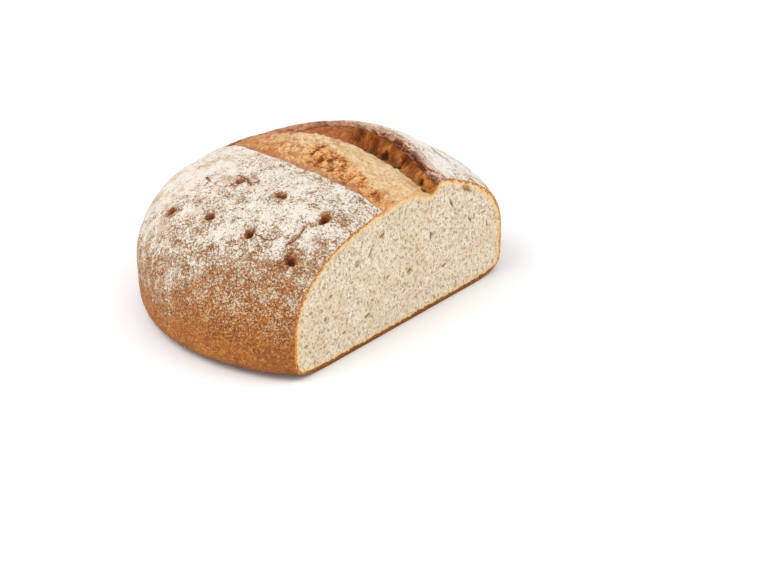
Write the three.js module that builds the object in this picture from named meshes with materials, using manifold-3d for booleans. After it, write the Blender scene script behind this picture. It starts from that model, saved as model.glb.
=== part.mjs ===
// Round sourdough hearth loaf with one end sliced off, baked as one piece.
// Millimetres, +Z up, resting on Z = 0. X runs along the score and +X points out of the sliced face.
import * as THREE from "three";
import * as BufferGeometryUtils from "three/addons/utils/BufferGeometryUtils.js";
import Module from "manifold-3d";

// Whole loaf, before the end was sliced off
const LOAF_LENGTH = 236;
const LOAF_WIDTH = 240;
const DOME_HEIGHT = 95;
const BELLY_HEIGHT = 30; // height of the widest line above the base
const UNDERSIDE_DROP = 31; // belly line to the lowest point, before the base spot is flattened
const DOME_POWER = 2.25; // 2 is an ellipse, more gives fuller shoulders
const UNDERSIDE_POWER = 8;
const SLICE_FROM_MIDDLE = 67; // middle of the whole loaf to the sliced face

// Score: the loaf split open along it, with the torn bloom inside and the ear on the +Y side
const SCORE_START = -84; // its closed end, measured from the middle of the whole loaf
const SCORE_START_NEAR = 4;
const NEAR_EDGE = 20.5; // near edge to the middle line, on the -Y side
const NEAR_EDGE_FULL_AT = 0.5; // share of the score's length at which the near edge has opened fully
const SCORE_START_EAR = 10;
const EAR_BOW = 54; // ear's tip line to the middle line, where it bows out furthest
const EAR_BOW_AT = 0.56;
const EAR_AT_SLICE = 38;
const EAR_LIFT = 8; // ear above the unscored dome
const EAR_LIFT_FULL_AT = 0.42;
const EAR_LIFT_AT_SLICE = 4;
const EAR_DROOP_FROM = 0.7; // share of the score's length where the lift begins to fall off
const EAR_OVERHANG = 3.5; // ear's tip leaning over the crevice
const EAR_BACK_LENGTH = 22; // how far behind its tip the ear fades into the dome
const CREVICE_DEPTH = 10;
const CREVICE_DEPTH_AT_SLICE = 7;
const CREVICE_AT = 0.84; // share of the way across the score, from the near edge to the ear
const SCORE_OPEN_AT = 0.35; // share of the score's length at which the bloom and crevice are full
const SKIN_STEP = 1.6; // near skin's edge above the bloom
const SKIN_STEP_AT = 0.04; // share of the way across at which the step has reached the bloom
const BLOOM_SWELL = 5.5; // bloom's crest above the unscored dome
const BLOOM_SWELL_AT_SLICE = 0.6;
const BLOOM_SINK_FROM = 0.45; // share of the score's length where the crest begins to sink
const BLOOM_CREST_AT = 0.46;

// Docking holes pricked before baking, in rows along X
const DOCK_RADIUS = 3.3;
const DOCK_TIP_RADIUS = 1.9;
const DOCK_DEPTH = 5;
const DOCK_SIDES = 12;
// side is the sign of the row's Y, fromSide its distance in from the belly line, and first its first hole's X
// measured from the middle of the whole loaf
const DOCK_INNER_ROW = { side: -1, fromSide: 69, first: -22.5, pitch: 35.5, count: 3 };
const DOCK_OUTER_ROW = { side: -1, fromSide: 36, first: -49.5, pitch: 33.5, count: 4 };
const DOCK_FAR_ROW = { side: 1, fromSide: 24, first: -36, pitch: 35.5, count: 3 };

// Mesh
const STATIONS = 44;
const SIDE_STEPS = 13;
const BLOOM_STEPS = 10;
const EAR_STEPS = 5;
const UNDER_STEPS = 12;
const SLICE_OVERRUN = 8;

const HALF_LENGTH = LOAF_LENGTH / 2;
const HALF_WIDTH = LOAF_WIDTH / 2;
const MIDDLE_X = (HALF_LENGTH - SLICE_FROM_MIDDLE) / 2;

const smooth = (t) => THREE.MathUtils.smoothstep(t, 0, 1);

// Share of the way out from the middle of the loaf, 1 at the belly line
function outward(x, y) {
  return Math.min(1, Math.hypot(x / HALF_LENGTH, y / HALF_WIDTH));
}

function halfWidthAt(x) {
  return HALF_WIDTH * Math.sqrt(Math.max(0, 1 - (x / HALF_LENGTH) ** 2));
}

function domeZ(x, y) {
  const rise = (1 - outward(x, y) ** DOME_POWER) ** (1 / DOME_POWER);
  return BELLY_HEIGHT + (DOME_HEIGHT - BELLY_HEIGHT) * rise;
}

// Half of the loaf's width under the belly line, at a share of the full drop to its lowest point
function undersideHalfWidth(x, drop) {
  const out = (1 - drop ** UNDERSIDE_POWER) ** (1 / UNDERSIDE_POWER);
  return HALF_WIDTH * Math.sqrt(Math.max(0, out ** 2 - (x / HALF_LENGTH) ** 2));
}

function domeNormal(x, y) {
  const step = 0.5;
  const slopeX = (domeZ(x + step, y) - domeZ(x - step, y)) / (2 * step);
  const slopeY = (domeZ(x, y + step) - domeZ(x, y - step)) / (2 * step);
  return new THREE.Vector3(-slopeX, -slopeY, 1).normalize();
}

// Share of the score's length, 0 at its closed end and 1 at the sliced face
function alongScore(x) {
  return (x - SCORE_START) / (SLICE_FROM_MIDDLE - SCORE_START);
}

// Behind its closed end the score's two lines run on, drawing in with the loaf
function drawIn(x) {
  return x < SCORE_START ? halfWidthAt(x) / halfWidthAt(SCORE_START) : 1;
}

function nearEdgeY(x) {
  const opened = THREE.MathUtils.clamp(alongScore(x) / NEAR_EDGE_FULL_AT, 0, 1);
  const grown = (NEAR_EDGE - SCORE_START_NEAR) * Math.sin((Math.PI / 2) * opened);
  return -(SCORE_START_NEAR + grown) * drawIn(x);
}

function earY(x) {
  const s = alongScore(x);
  const bowedOut = (EAR_BOW - SCORE_START_EAR) * smooth(s / EAR_BOW_AT);
  const drawnBack = (EAR_BOW - EAR_AT_SLICE) * smooth((s - EAR_BOW_AT) / (1 - EAR_BOW_AT));
  return (SCORE_START_EAR + bowedOut - drawnBack) * drawIn(x);
}

// A value that holds up to a share of the score's length, then changes smoothly towards the slice
function towardsSlice(x, full, atSlice, from) {
  return THREE.MathUtils.lerp(full, atSlice, smooth((alongScore(x) - from) / (1 - from)));
}

// Height of the torn surface against the unscored dome, w = 0 at the near edge and 1 at the ear's tip
function tornOffset(x, w) {
  const opened = smooth(alongScore(x) / SCORE_OPEN_AT);
  const floor = -opened * towardsSlice(x, CREVICE_DEPTH, CREVICE_DEPTH_AT_SLICE, SCORE_OPEN_AT);
  if (w > CREVICE_AT) {
    return THREE.MathUtils.lerp(floor, earLift(x), smooth((w - CREVICE_AT) / (1 - CREVICE_AT)));
  }
  const crest = towardsSlice(x, BLOOM_SWELL, BLOOM_SWELL_AT_SLICE, BLOOM_SINK_FROM);
  const climb = Math.sin((Math.PI / 2) * Math.min(1, w / BLOOM_CREST_AT));
  const bloom = opened * ((crest + SKIN_STEP) * climb - SKIN_STEP * smooth(w / SKIN_STEP_AT));
  const fall = smooth((w - BLOOM_CREST_AT) / (CREVICE_AT - BLOOM_CREST_AT));
  return THREE.MathUtils.lerp(bloom, floor, fall ** 1.3);
}

function earLift(x) {
  const grown = smooth(alongScore(x) / EAR_LIFT_FULL_AT);
  return grown * towardsSlice(x, EAR_LIFT, EAR_LIFT_AT_SLICE, EAR_DROOP_FROM);
}

function surfaceOffset(x, y) {
  const near = nearEdgeY(x);
  const ear = earY(x);
  if (y > ear) {
    return earLift(x) * Math.exp(-(((y - ear) / EAR_BACK_LENGTH) ** 2));
  }
  return y < near ? 0 : tornOffset(x, (y - near) / (ear - near));
}

// The ear's tip leans over the crevice by moving its points towards -Y
function overhang(x, y) {
  const reach = (y - earY(x)) / (y > earY(x) ? EAR_BACK_LENGTH / 2 : EAR_OVERHANG);
  return EAR_OVERHANG * (earLift(x) / EAR_LIFT) * Math.exp(-(reach ** 2));
}

function topPoint(x, y) {
  const normal = domeNormal(x, y);
  const offset = surfaceOffset(x, y);
  const moved = normal.multiplyScalar(offset);
  return new THREE.Vector3(x + moved.x, y + moved.y - overhang(x, y), domeZ(x, y) + moved.z);
}

// Y positions from the belly line on one side to the score's edge, evenly spaced by angle
function sideYs(x, edge, sign) {
  const half = halfWidthAt(x);
  const end = Math.acos(THREE.MathUtils.clamp((edge * sign) / half, -1, 1));
  return Array.from({ length: SIDE_STEPS }, (_, i) => sign * half * Math.cos((end * i) / SIDE_STEPS));
}

// Shares of the way across the score: the near skin's step, the bloom, the crevice and the ear
function scoreShares() {
  const bloom = Array.from({ length: BLOOM_STEPS }, (_, i) => {
    return THREE.MathUtils.lerp(SKIN_STEP_AT, CREVICE_AT, i / BLOOM_STEPS);
  });
  const ear = Array.from({ length: EAR_STEPS + 1 }, (_, i) => {
    return THREE.MathUtils.lerp(CREVICE_AT, 1, i / EAR_STEPS);
  });
  return [0, ...bloom, ...ear];
}

// Under the belly line, from the +Y side down, across the base and up to the -Y side
function underPoints(x) {
  const deepest = (1 - Math.abs(x / HALF_LENGTH) ** UNDERSIDE_POWER) ** (1 / UNDERSIDE_POWER);
  const sides = Array.from({ length: UNDER_STEPS - 1 }, (_, i) => {
    const drop = deepest * Math.sin(((Math.PI / 2) * (i + 1)) / UNDER_STEPS);
    return { y: undersideHalfWidth(x, drop), z: BELLY_HEIGHT - UNDERSIDE_DROP * drop };
  });
  const down = sides.map((p) => new THREE.Vector3(x, p.y, p.z));
  const up = sides.reverse().map((p) => new THREE.Vector3(x, -p.y, p.z));
  return [...down, new THREE.Vector3(x, 0, BELLY_HEIGHT - UNDERSIDE_DROP * deepest), ...up];
}

function ring(x) {
  const near = nearEdgeY(x);
  const ear = earY(x);
  const half = halfWidthAt(x);
  const across = scoreShares().map((w) => near + (ear - near) * w);
  const ys = [...sideYs(x, near, -1), ...across, ...sideYs(x, ear, 1).reverse()];
  const top = ys.map((y) => {
    return Math.abs(y) < half ? topPoint(x, y) : new THREE.Vector3(x, y, BELLY_HEIGHT);
  });
  return [...top, ...underPoints(x)];
}

// Closed skin from the loaf's far end to just past the sliced face
function loafSkin() {
  const lastAngle = Math.acos(-(SLICE_FROM_MIDDLE + SLICE_OVERRUN) / HALF_LENGTH);
  const rings = Array.from({ length: STATIONS }, (_, i) => {
    return ring(-HALF_LENGTH * Math.cos((lastAngle * (i + 1)) / STATIONS));
  });
  const count = rings[0].length;
  const points = [new THREE.Vector3(-HALF_LENGTH, 0, BELLY_HEIGHT), ...rings.flat()];
  const lastX = rings[STATIONS - 1][0].x;
  points.push(new THREE.Vector3(lastX, 0, BELLY_HEIGHT));
  const faces = [];
  const at = (i, j) => 1 + i * count + (j % count);
  for (let j = 0; j < count; j++) {
    faces.push(0, at(0, j), at(0, j + 1));
    faces.push(points.length - 1, at(STATIONS - 1, j + 1), at(STATIONS - 1, j));
    for (let i = 0; i < STATIONS - 1; i++) {
      faces.push(at(i, j), at(i + 1, j + 1), at(i, j + 1));
      faces.push(at(i, j), at(i + 1, j), at(i + 1, j + 1));
    }
  }
  const geometry = new THREE.BufferGeometry().setFromPoints(points);
  geometry.setIndex(faces);
  return geometry;
}

function dockingHole(x, y) {
  const outside = 4; // tool runs this far out of the crust
  const length = DOCK_DEPTH + outside;
  const flare = (DOCK_RADIUS - DOCK_TIP_RADIUS) / DOCK_DEPTH;
  const wide = DOCK_RADIUS + flare * outside;
  const tool = new THREE.CylinderGeometry(wide, DOCK_TIP_RADIUS, length, DOCK_SIDES);
  tool.translate(0, (outside - DOCK_DEPTH) / 2, 0);
  const turn = new THREE.Quaternion().setFromUnitVectors(new THREE.Vector3(0, 1, 0), domeNormal(x, y));
  return tool.applyQuaternion(turn).translate(x, y, domeZ(x, y));
}

function dockingHoles() {
  return [DOCK_INNER_ROW, DOCK_OUTER_ROW, DOCK_FAR_ROW].flatMap((row) => {
    const y = row.side * (HALF_WIDTH - row.fromSide);
    return Array.from({ length: row.count }, (_, i) => dockingHole(row.first + row.pitch * i, y));
  });
}

const wasm = await Module();
wasm.setup();

function toManifold(geometry) {
  const bare = new THREE.BufferGeometry();
  bare.setAttribute("position", geometry.getAttribute("position"));
  bare.setIndex(geometry.index);
  const merged = BufferGeometryUtils.mergeVertices(bare, 1e-4);
  return new wasm.Manifold(
    new wasm.Mesh({
      numProp: 3,
      vertProperties: new Float32Array(merged.getAttribute("position").array),
      triVerts: new Uint32Array(merged.index.array),
    }),
  );
}

function toGeometry(manifold) {
  const mesh = manifold.getMesh();
  const geometry = new THREE.BufferGeometry();
  geometry.setAttribute("position", new THREE.BufferAttribute(new Float32Array(mesh.vertProperties), 3));
  geometry.setIndex(new THREE.BufferAttribute(new Uint32Array(mesh.triVerts), 1));
  geometry.computeVertexNormals();
  return geometry;
}

// Room kept by the knife and the base: everything above Z = 0 and behind the sliced face
function keptRoom() {
  const room = new THREE.BoxGeometry(2 * LOAF_LENGTH, 2 * LOAF_WIDTH, 2 * DOME_HEIGHT);
  return room.translate(SLICE_FROM_MIDDLE - LOAF_LENGTH, 0, DOME_HEIGHT);
}

function loafGeometry() {
  let body = toManifold(loafSkin()).intersect(toManifold(keptRoom()));
  for (const hole of dockingHoles()) {
    body = body.subtract(toManifold(hole));
  }
  return toGeometry(body).translate(MIDDLE_X, 0, 0);
}

const crust = new THREE.MeshStandardMaterial({ color: "#c9a27a", roughness: 0.85, metalness: 0 });
const loaf = new THREE.Mesh(loafGeometry(), crust);
loaf.name = "loaf";

const part = new THREE.Group();
part.name = "sourdough_loaf";
part.add(loaf);

export default part;
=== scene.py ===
"""Looks for the sliced sourdough hearth loaf: one detailed loaf mesh in place of the plain CAD solid."""

import math

import bpy
import numpy as np
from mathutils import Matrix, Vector
from mathutils.geometry import delaunay_2d_cdt


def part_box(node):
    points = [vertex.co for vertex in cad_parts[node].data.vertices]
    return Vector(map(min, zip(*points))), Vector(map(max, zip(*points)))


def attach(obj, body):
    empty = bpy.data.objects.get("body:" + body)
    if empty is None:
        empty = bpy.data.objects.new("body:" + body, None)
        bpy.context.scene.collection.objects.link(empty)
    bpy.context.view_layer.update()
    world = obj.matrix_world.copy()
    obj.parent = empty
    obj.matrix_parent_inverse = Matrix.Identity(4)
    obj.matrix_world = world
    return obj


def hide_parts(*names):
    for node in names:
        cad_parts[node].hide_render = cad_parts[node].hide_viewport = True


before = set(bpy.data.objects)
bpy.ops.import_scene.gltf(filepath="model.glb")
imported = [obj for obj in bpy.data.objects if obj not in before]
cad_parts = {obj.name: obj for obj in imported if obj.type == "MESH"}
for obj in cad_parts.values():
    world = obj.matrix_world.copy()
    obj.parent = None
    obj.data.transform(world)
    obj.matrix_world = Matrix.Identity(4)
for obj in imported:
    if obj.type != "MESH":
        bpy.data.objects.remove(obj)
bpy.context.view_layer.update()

MM = 0.001

# ------------------------------------------------ sizes shared with the CAD solid, in millimetres
HALF_LENGTH = 118.0
HALF_WIDTH = 120.0
DOME_HEIGHT = 95.0
BELLY_HEIGHT = 30.0
UNDERSIDE_DROP = 31.0
DOME_POWER = 2.25
UNDERSIDE_POWER = 8.0
SLICE_X = 67.0
MIDDLE_X = (HALF_LENGTH - SLICE_X) / 2

SCORE_START = -84.0
SCORE_START_NEAR = 4.0
NEAR_EDGE = 20.5
NEAR_EDGE_FULL_AT = 0.5  # this and the other shares below are of the score's length
SCORE_START_EAR = 10.0
SCORE_OPEN_AT = 0.35
EAR_BOW = 54.0
EAR_BOW_AT = 0.56
EAR_AT_SLICE = 38.0
EAR_LIFT = 8.0
EAR_LIFT_FULL_AT = 0.42
EAR_LIFT_AT_SLICE = 4.0
EAR_DROOP_FROM = 0.7
EAR_OVERHANG = 3.5
EAR_BACK_LENGTH = 22.0
CREVICE_DEPTH = 10.0
CREVICE_DEPTH_AT_SLICE = 5.0  # the CAD solid has 7
CREVICE_AT = 0.84  # share of the way across the score
SKIN_STEP = 1.6
SKIN_STEP_AT = 0.04
BLOOM_SWELL = 5.5
BLOOM_SWELL_AT_SLICE = 0.6
BLOOM_SINK_FROM = 0.45
BLOOM_CREST_AT = 0.46
BLOOM_FALL_POWER = 1.3
WALL_RISE_POWER = 0.8

DOCK_RADIUS = 3.0  # the CAD solid has 3.3
DOCK_DEPTH = 4.0  # the CAD solid has 5
DOCK_ROWS = (  # y, first x, pitch, count
    (-51.0, -22.5, 35.5, 3),
    (-84.0, -49.5, 33.5, 4),
    (96.0, -36.0, 35.5, 3),
)


# ------------------------------------------------ shaping curves
def smooth(t):
    t = np.clip(t, 0, 1)
    return t * t * (3 - 2 * t)


def rise(value, start, width):
    """From 0 to 1 as VALUE climbs through WIDTH from START."""
    return smooth((value - start) / width)


def fall(value, end, width):
    """From 1 to 0 as VALUE climbs through WIDTH up to END."""
    return smooth((end - value) / width)


def bell(value, centre, spread):
    return np.exp(-(((value - centre) / spread) ** 2))


def mix(a, b, t):
    return a + (b - a) * t


# ------------------------------------------------ noise, called with a feature size in millimetres and a seed
def hashed(ix, iy, iz, seed):
    """Repeatable random numbers from 0 to 1 for whole-number lattice points."""
    h = (ix * 374761393 + iy * 668265263 + iz * 2147483647 + seed * 1274126177) & 0xFFFFFFFF
    h = ((h ^ (h >> 13)) * 1274126177) & 0xFFFFFFFF
    h = ((h ^ (h >> 16)) * 2246822519) & 0xFFFFFFFF
    return ((h ^ (h >> 15)) & 0xFFFFFF) / float(0xFFFFFF)


def noise(points, size, seed):
    """Smooth value noise from -1 to 1."""
    p = points / size
    cell = np.floor(p).astype(np.int64)
    f = p - cell
    f = f * f * f * (f * (f * 6 - 15) + 10)
    total = 0
    for dx in (0, 1):
        for dy in (0, 1):
            for dz in (0, 1):
                weight = (
                    (f[:, 0] if dx else 1 - f[:, 0])
                    * (f[:, 1] if dy else 1 - f[:, 1])
                    * (f[:, 2] if dz else 1 - f[:, 2])
                )
                total = total + weight * hashed(cell[:, 0] + dx, cell[:, 1] + dy, cell[:, 2] + dz, seed)
    return total * 2 - 1


def layered(points, size, seed, octaves, seed_step, shape):
    """Octaves of noise, each half the size and strength of the last, with SHAPE applied to each."""
    total, gain, norm = 0, 1.0, 0.0
    for i in range(octaves):
        total = total + gain * shape(noise(points, size / 2**i, seed + i * seed_step))
        norm += gain
        gain *= 0.5
    return total / norm


def fractal(points, size, seed, octaves=3):
    """From -1 to 1, rough at every scale."""
    return layered(points, size, seed, octaves, 17, lambda n: n)


def ridges(points, size, seed, octaves=3):
    """From 0 to 1, high along thin winding lines."""
    return layered(points, size, seed, octaves, 31, lambda n: (1 - np.abs(n)) ** 2)


def cells(points, size, seed):
    """Distance to the nearest scattered point, in cell sizes, with that point's own random number."""
    p = points / size
    base = np.floor(p).astype(np.int64)
    best = np.full(len(p), 9.0)
    pick = np.zeros(len(p))
    for dx in (-1, 0, 1):
        for dy in (-1, 0, 1):
            for dz in (-1, 0, 1):
                c = base + (dx, dy, dz)
                spot = np.stack([c[:, k] + hashed(c[:, 0], c[:, 1], c[:, 2], seed + k) for k in range(3)], 1)
                d = np.linalg.norm(spot - p, axis=1)
                near = d < best
                best[near] = d[near]
                pick[near] = hashed(c[:, 0], c[:, 1], c[:, 2], seed + 7)[near]
    return best, pick


# ------------------------------------------------ the loaf's form
def half_width_at(x):
    return HALF_WIDTH * np.sqrt(np.maximum(0, 1 - (x / HALF_LENGTH) ** 2))


def dome_z(x, y):
    out = np.minimum(1, np.hypot(x / HALF_LENGTH, y / HALF_WIDTH))
    return BELLY_HEIGHT + (DOME_HEIGHT - BELLY_HEIGHT) * (1 - out**DOME_POWER) ** (1 / DOME_POWER)


def dome_normal(x, y):
    step = 0.5
    slope_x = (dome_z(x + step, y) - dome_z(x - step, y)) / (2 * step)
    slope_y = (dome_z(x, y + step) - dome_z(x, y - step)) / (2 * step)
    n = np.stack([-slope_x, -slope_y, np.ones_like(slope_x)], -1)
    return n / np.linalg.norm(n, axis=-1, keepdims=True)


def along_score(x):
    """Share of the score's length, 0 at its closed end and 1 at the slice."""
    return (x - SCORE_START) / (SLICE_X - SCORE_START)


def draw_in(x):
    """Share by which the grid's lines close up beyond the score's closed end."""
    return np.where(x < SCORE_START, half_width_at(x) / half_width_at(SCORE_START), 1.0)


def near_edge_y(x):
    opened = np.clip(along_score(x) / NEAR_EDGE_FULL_AT, 0, 1)
    return -(SCORE_START_NEAR + (NEAR_EDGE - SCORE_START_NEAR) * np.sin(math.pi / 2 * opened)) * draw_in(x)


def ear_y(x):
    s = along_score(x)
    out = (EAR_BOW - SCORE_START_EAR) * smooth(s / EAR_BOW_AT)
    back = (EAR_BOW - EAR_AT_SLICE) * rise(s, EAR_BOW_AT, 1 - EAR_BOW_AT)
    return (SCORE_START_EAR + out - back) * draw_in(x)


def towards_slice(x, full, at_slice, start):
    return mix(full, at_slice, rise(along_score(x), start, 1 - start))


def ear_lift(x):
    lift = towards_slice(x, EAR_LIFT, EAR_LIFT_AT_SLICE, EAR_DROOP_FROM)
    return smooth(along_score(x) / EAR_LIFT_FULL_AT) * lift


def torn_offset(x, w):
    """Height of the torn surface against the unscored dome, w = 0 at the near edge and 1 at the ear's tip."""
    opened = smooth(along_score(x) / SCORE_OPEN_AT)
    floor = -opened * towards_slice(x, CREVICE_DEPTH, CREVICE_DEPTH_AT_SLICE, SCORE_OPEN_AT)
    crest = towards_slice(x, BLOOM_SWELL, BLOOM_SWELL_AT_SLICE, BLOOM_SINK_FROM)
    climb = np.sin(math.pi / 2 * np.minimum(1, w / BLOOM_CREST_AT))
    bloom = opened * ((crest + SKIN_STEP) * climb - SKIN_STEP * smooth(w / SKIN_STEP_AT))
    sink = rise(w, BLOOM_CREST_AT, CREVICE_AT - BLOOM_CREST_AT) ** BLOOM_FALL_POWER
    wall = rise(w, CREVICE_AT, 1 - CREVICE_AT) ** WALL_RISE_POWER
    return np.where(w <= CREVICE_AT, mix(bloom, floor, sink), mix(floor, ear_lift(x), wall))


# ------------------------------------------------ the crust's grid
NEAR_STEPS = 86
SCORE_COUNT = 84
BACK_STEPS = 54
UNDER_STEPS = 20
RINGS = 232
CROWDED = ((0.0, 0.05, 1.2), (0.97, 0.1, 1.6))  # share across the score, spread, extra density of lines there
UNDERSIDE_MARK = 3.0  # share across the score that stands for the underside, minus on the near side
FAR_BEHIND, FAR_BEFORE = 60.0, -200.0  # distance behind the ear that stands for either side's underside


def score_shares():
    """Shares across the score, closer together at the skin's edge, in the crevice and round the ear's tip."""
    t = np.linspace(0, 1, SCORE_COUNT)
    density = 1
    for centre, spread, extra in CROWDED:
        density = density + extra * bell(t, centre, spread)
    total = np.concatenate([[0], np.cumsum((density[1:] + density[:-1]) / 2)])
    return np.interp(np.linspace(0, total[-1], SCORE_COUNT), total, t)


def top_line(x, shares):
    """The ring's points over the dome at X, near side first, and their shares across the score."""
    half = float(half_width_at(x))
    near, ear = float(near_edge_y(x)), float(ear_y(x))
    near_end = math.acos(max(-1, min(1, -near / half)))
    far_end = math.acos(max(-1, min(1, ear / half)))
    near_ys = -half * np.cos(near_end * np.arange(NEAR_STEPS) / NEAR_STEPS)
    far_ys = (half * np.cos(far_end * np.arange(BACK_STEPS) / BACK_STEPS))[::-1]
    ys = np.concatenate([near_ys, near + (ear - near) * shares, far_ys])
    xs = np.full_like(ys, x)
    w = (ys - near) / (ear - near)
    behind_ear = ear_lift(x) * bell(np.maximum(0, ys - ear), 0, EAR_BACK_LENGTH)
    offset = np.where(w < 0, 0, np.where(w > 1, behind_ear, torn_offset(xs, w)))
    lean = bell(ys, ear, np.where(ys > ear, EAR_BACK_LENGTH / 2, EAR_OVERHANG))
    lean = EAR_OVERHANG * ear_lift(x) / EAR_LIFT * lean
    edge = np.abs(ys) >= half * 0.99999
    normal = dome_normal(xs, np.where(edge, ys * 0.999, ys)) * offset[:, None]
    top = np.stack([xs + normal[:, 0], ys + normal[:, 1] - lean, dome_z(xs, ys) + normal[:, 2]], 1)
    top[edge] = np.stack([xs[edge], ys[edge], np.full(edge.sum(), BELLY_HEIGHT)], 1)
    return top, w


def under_line(x):
    """The ring's points under the belly at X, far side first."""
    deepest = (1 - abs(x / HALF_LENGTH) ** UNDERSIDE_POWER) ** (1 / UNDERSIDE_POWER)
    drop = deepest * np.sin(math.pi / 2 * np.arange(1, UNDER_STEPS) / UNDER_STEPS)
    out = (1 - drop**UNDERSIDE_POWER) ** (1 / UNDERSIDE_POWER)
    side = HALF_WIDTH * np.sqrt(np.maximum(0, out**2 - (x / HALF_LENGTH) ** 2))
    down = np.stack([np.full_like(side, x), side, BELLY_HEIGHT - UNDERSIDE_DROP * drop], 1)
    lowest = np.array([[x, 0, BELLY_HEIGHT - UNDERSIDE_DROP * deepest]])
    under = np.concatenate([down, lowest, down[::-1] * (1, -1, 1)])
    under[:, 2] = np.maximum(under[:, 2], 0)
    return under


def crust_grid():
    """Closed rings of points from the far end to the slice, and each point's share across the score."""
    shares = score_shares()
    last = math.acos(-SLICE_X / HALF_LENGTH)
    points, across = [], []
    for x in -HALF_LENGTH * np.cos(last * np.arange(1, RINGS + 1) / RINGS):
        top, w = top_line(x, shares)
        under = under_line(x)
        points.append(np.concatenate([top, under]))
        across.append(np.concatenate([w, np.where(under[:, 1] > 0, UNDERSIDE_MARK, -UNDERSIDE_MARK)]))
    return np.array(points), np.array(across)


def grid_normals(points):
    """Outward normals of a grid of rings."""
    along = np.gradient(points, axis=0)
    around = np.roll(points, -1, axis=1) - np.roll(points, 1, axis=1)
    n = np.cross(along, around)
    return n / np.maximum(np.linalg.norm(n, axis=-1, keepdims=True), 1e-9)


# ------------------------------------------------ the crust's fine form
NOWHERE_NEAR = 99.0  # a distance beyond every hole and split

# Short splits in the skin: two ends on the dome (x, y), sideways bow, width and depth in millimetres.
SPLITS = (
    ((-31.0, -46.0), (-10.0, -53.0), 2.0, 0.7, 0.6),
    ((42.0, -62.0), (42.0, -80.0), 3.0, 1.0, 0.8),
    ((49.0, -78.0), (44.0, -93.0), 0.5, 1.1, 1.2),
    ((20.0, -83.0), (36.0, -78.0), -2.0, 0.9, 0.6),
    ((-52.0, -52.0), (-42.0, -62.0), 2.0, 0.7, 0.6),
    ((-20.0, 92.0), (12.0, 86.0), 3.0, 0.8, 0.8),
    ((30.0, 70.0), (52.0, 76.0), -2.0, 0.7, 0.7),
    ((-66.0, 58.0), (-44.0, 70.0), 2.5, 0.8, 0.8),
)


def dock_places():
    return [(x0 + pitch * i, y) for y, x0, pitch, count in DOCK_ROWS for i in range(count)]


def dock_distance(p):
    """Distance of each point from the nearest docking hole's axis, in millimetres."""
    best = np.full(len(p), NOWHERE_NEAR)
    for k, (x, y) in enumerate(dock_places()):
        centre = np.array([x, y, float(dome_z(np.float64(x), np.float64(y)))])
        axis = dome_normal(np.float64(x), np.float64(y))
        rel = p - centre
        across = rel - (rel @ axis)[:, None] * axis
        stretch = 1 + 0.22 * math.sin(k * 2.3)  # so that no two holes are the same oval
        across[:, 0] /= stretch
        across[:, 1] *= stretch
        best = np.minimum(best, np.linalg.norm(across, axis=1))
    return best


def split_depth(p):
    """Depth of the splits in the skin, the sideways distance to the nearest, and how open it is there."""
    depth = np.zeros(len(p))
    nearest = np.full(len(p), NOWHERE_NEAR)
    shown = np.zeros(len(p))
    wander = 0.9 * noise(p, 5.0, 91) + 0.5 * noise(p, 2.0, 92)
    for (x0, y0), (x1, y1), bow, width, deep in SPLITS:
        length = math.hypot(x1 - x0, y1 - y0)
        ux, uy = (x1 - x0) / length, (y1 - y0) / length
        t = ((p[:, 0] - x0) * ux + (p[:, 1] - y0) * uy) / length
        off = (p[:, 0] - x0) * -uy + (p[:, 1] - y0) * ux
        off = off - bow * np.sin(math.pi * np.clip(t, 0, 1)) + wander
        along = smooth(t / 0.15) * fall(t, 1, 0.2) * (p[:, 2] > BELLY_HEIGHT)
        along = along * (0.5 + 0.5 * rise(noise(p, 6.0, 93), -0.6, 0.5))
        depth = np.maximum(depth, bell(off, 0, width) * along * deep)
        closer = (np.abs(off) < np.abs(nearest)) & (along > 0)
        nearest[closer] = off[closer]
        shown[closer] = (along * fall(np.abs(off), 4, 1.5))[closer]
    return depth, np.clip(nearest, -6, 6), shown


def bloom_relief(p, w, s):
    """Lumps of the torn bloom in millimetres, and the shares that are craggy and cracked."""
    off_line = np.abs(w - (0.27 - 0.45 * (s - 0.5))) + 0.05 * noise(p, 9, 24)
    craggy = fall(off_line, 0.17, 0.09) * rise(s, 0.44, 0.1) * fall(s, 1.0, 0.14)
    craggy = craggy * rise(noise(p, 12, 28), -1.0, 0.5)
    knob, knob_pick = cells(p * (1, 1.15, 1), 4.6, 21)
    bead, _ = cells(p, 2.7, 22)
    crack = ridges(p * (1, 1.3, 1), 7.0, 25, 2)
    lumps = 1.2 * (0.48 - knob) * (0.4 + 0.6 * knob_pick) + 1.0 * (0.48 - bead)
    lumps += 0.55 * fractal(p, 2.2, 29, 2)
    crags = 1.9 * fractal(p, 4.6, 26) - 1.9 * rise(crack, 0.74, 0.2)
    return lumps + craggy * crags, craggy, crack


def wall_relief(p, w, s):
    """Torn strands of the wall under the ear in millimetres, and the share that is open holes."""
    strand = fractal(p * (1.0, 0.42, 0.42), 4.2, 41, 3)
    cave = fractal(p * (0.9, 0.65, 0.65), 5.0, 43, 2)
    hole = rise(cave, 0.22, 0.25) * rise(s, 0.4, 0.15) * fall(w, 0.93, 0.07)
    return 0.8 * strand + 1.0 * fractal(p, 5.0, 47, 2) - 2.4 * hole, hole


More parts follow.
